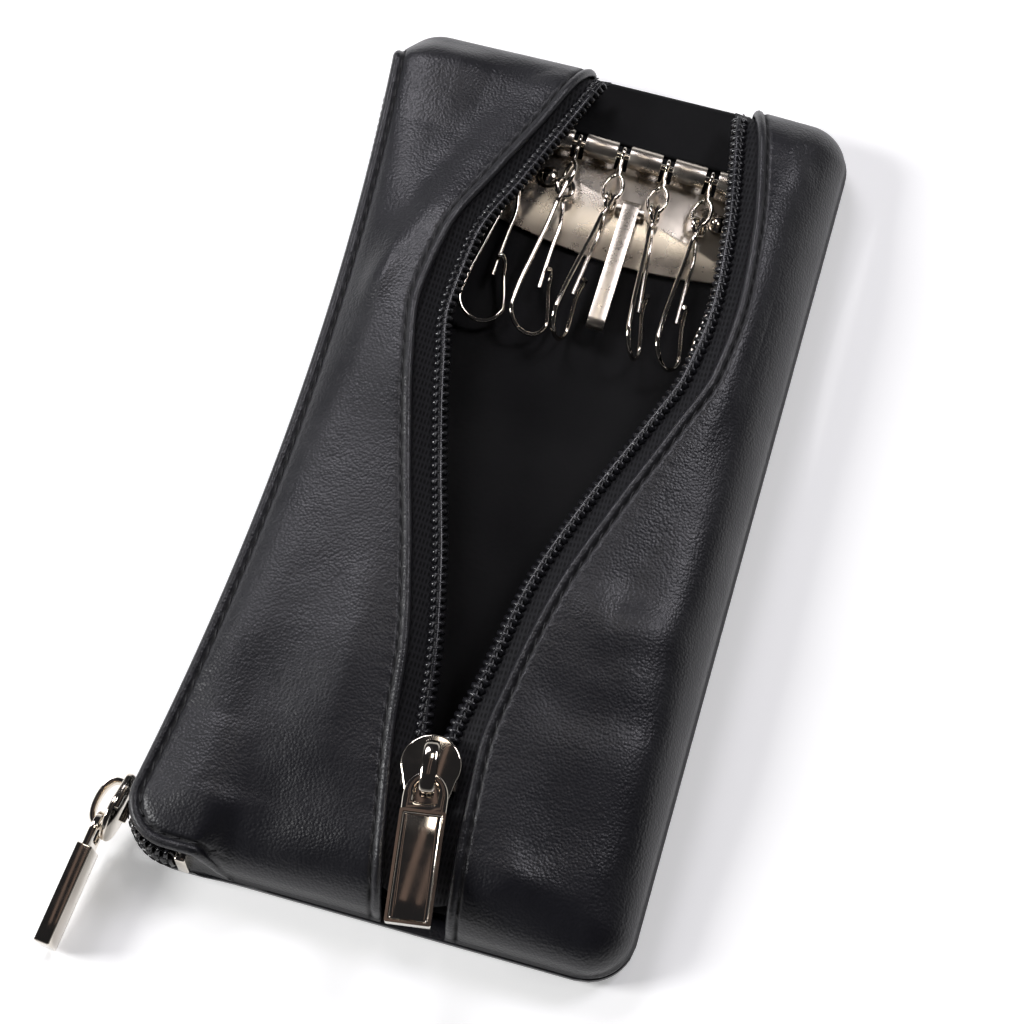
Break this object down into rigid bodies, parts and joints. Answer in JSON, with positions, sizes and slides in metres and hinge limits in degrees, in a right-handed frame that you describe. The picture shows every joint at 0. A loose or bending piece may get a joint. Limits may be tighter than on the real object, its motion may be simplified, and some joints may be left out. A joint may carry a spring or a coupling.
{
  "type": "zipped key case",
  "caption": "Leather key case with a zipped mouth, a hinged rail of spring hooks, a flat key loop and a zipped rear pocket.",
  "frame": {"origin": "middle of the back face, which the case lies on", "axes": "+X across the case to the right, +Y along it toward the hook rail, +Z out of the front"},
  "size_m": [0.0786, 0.1541, 0.0187],
  "materials": {
    "leather": "smooth black nappa with a fine grain, semi-gloss",
    "lining": "matt black lining",
    "zip_tape": "woven black tape",
    "zip_coil": "black nylon coil, satin",
    "nickel": "bright nickel plate"
  },
  "bodies": {
    "case": {"back_panel": "leather", "pocket_divider": "lining", "front_panel_left": "leather", "front_panel_right": "leather", "front_zip_tape_left": "zip_tape", "front_zip_tape_right": "zip_tape", "front_zip_coil_left": "zip_coil", "front_zip_coil_right": "zip_coil", "front_zip_stop": "nickel", "side_zip_tape_back": "zip_tape", "side_zip_tape_front": "zip_tape", "side_zip_chain": "zip_coil", "side_zip_stop": "nickel", "hook_plate": "nickel", "hook_rod": "nickel", "plate_rivet_left": "nickel", "plate_rivet_right": "nickel"},
    "front_slider": {"front_zip_slider": "nickel"},
    "front_pull": {"front_zip_pull": "nickel"},
    "side_slider": {"side_zip_slider": "nickel"},
    "side_pull": {"side_zip_pull": "nickel"},
    "link_1": {"key_link_1": "nickel"},
    "link_2": {"key_link_2": "nickel"},
    "link_3": {"key_link_3": "nickel"},
    "link_4": {"key_link_4": "nickel"},
    "link_5": {"key_link_5": "nickel"},
    "link_6": {"key_link_6": "nickel"},
    "hook_1": {"key_hook_1": "nickel"},
    "hook_2": {"key_hook_2": "nickel"},
    "hook_3": {"key_hook_3": "nickel"},
    "hook_4": {"key_hook_4": "nickel"},
    "hook_5": {"key_hook_5": "nickel"},
    "hook_6": {"key_hook_6": "nickel"},
    "key_loop": {"car_key_loop": "nickel"}
  },
  "joints": [
    {"name": "front_zip_slide", "type": "slide", "parent": "case", "child": "front_slider", "axis": [0.1475, -0.9841, -0.0984], "range_m": [0, 0.0075]},
    {"name": "front_pull_hinge", "type": "hinge", "parent": "front_slider", "child": "front_pull", "pos_m": [0.00327, -0.0508, 0.01644], "axis": [-0.9889, -0.1483, 0], "range_deg": [0, 140]},
    {"name": "side_zip_travel", "type": "hinge", "parent": "case", "child": "side_slider", "pos_m": [-0.5145, 0, 0.006], "axis": [0, 0, 1], "range_deg": [0, 12]},
    {"name": "side_pull_hinge", "type": "hinge", "parent": "side_slider", "child": "side_pull", "pos_m": [-0.03963, -0.06559, 0.006], "axis": [-0.0231, 0.0898, -0.9957], "range_deg": [0, 120]},
    {"name": "link_1_hinge", "type": "hinge", "parent": "case", "child": "link_1", "pos_m": [-0.01156, 0.0549, 0.00822], "axis": [-0.9976, 0, 0.0698], "range_deg": [0, 3]},
    {"name": "link_2_hinge", "type": "hinge", "parent": "case", "child": "link_2", "pos_m": [-0.00457, 0.0549, 0.00773], "axis": [-0.9976, 0, 0.0698], "range_deg": [0, 40]},
    {"name": "link_3_hinge", "type": "hinge", "parent": "case", "child": "link_3", "pos_m": [0.00241, 0.0549, 0.00724], "axis": [-0.9976, 0, 0.0698], "range_deg": [0, 60]},
    {"name": "link_4_hinge", "type": "hinge", "parent": "case", "child": "link_4", "pos_m": [0.00939, 0.0549, 0.00676], "axis": [-0.9976, 0, 0.0698], "range_deg": [0, 60]},
    {"name": "link_5_hinge", "type": "hinge", "parent": "case", "child": "link_5", "pos_m": [0.01637, 0.0549, 0.00627], "axis": [-0.9976, 0, 0.0698], "range_deg": [0, 40]},
    {"name": "link_6_hinge", "type": "hinge", "parent": "case", "child": "link_6", "pos_m": [0.02336, 0.0549, 0.00578], "axis": [-0.9976, 0, 0.0698], "range_deg": [0, 4]},
    {"name": "hook_1_hinge", "type": "hinge", "parent": "link_1", "child": "hook_1", "pos_m": [-0.01147, 0.04638, 0.00941], "axis": [-0.5586, -0.1205, -0.8206], "range_deg": [0, 2]},
    {"name": "hook_2_hinge", "type": "hinge", "parent": "link_2", "child": "hook_2", "pos_m": [-0.00449, 0.04638, 0.00893], "axis": [-0.5586, -0.1205, -0.8206], "range_deg": [0, 1.5]},
    {"name": "hook_3_hinge", "type": "hinge", "parent": "link_3", "child": "hook_3", "pos_m": [0.00247, 0.04635, 0.00814], "axis": [-0.9815, -0.027, -0.1894], "range_deg": [0, 20]},
    {"name": "hook_4_hinge", "type": "hinge", "parent": "link_4", "child": "hook_4", "pos_m": [0.00945, 0.04635, 0.00765], "axis": [-0.9815, -0.027, -0.1894], "range_deg": [0, 20]},
    {"name": "hook_5_hinge", "type": "hinge", "parent": "link_5", "child": "hook_5", "pos_m": [0.01644, 0.04635, 0.00716], "axis": [-0.9815, -0.027, -0.1894], "range_deg": [0, 12]},
    {"name": "hook_6_hinge", "type": "hinge", "parent": "link_6", "child": "hook_6", "pos_m": [0.0234, 0.04632, 0.00638], "axis": [-0.8089, -0.0448, -0.5862], "range_deg": [0, 2]},
    {"name": "key_loop_hinge", "type": "hinge", "parent": "case", "child": "key_loop", "pos_m": [0.00591, 0.0461, 0.0072], "axis": [-0.9976, 0, 0.0698], "range_deg": [0, 70]}
  ]
}
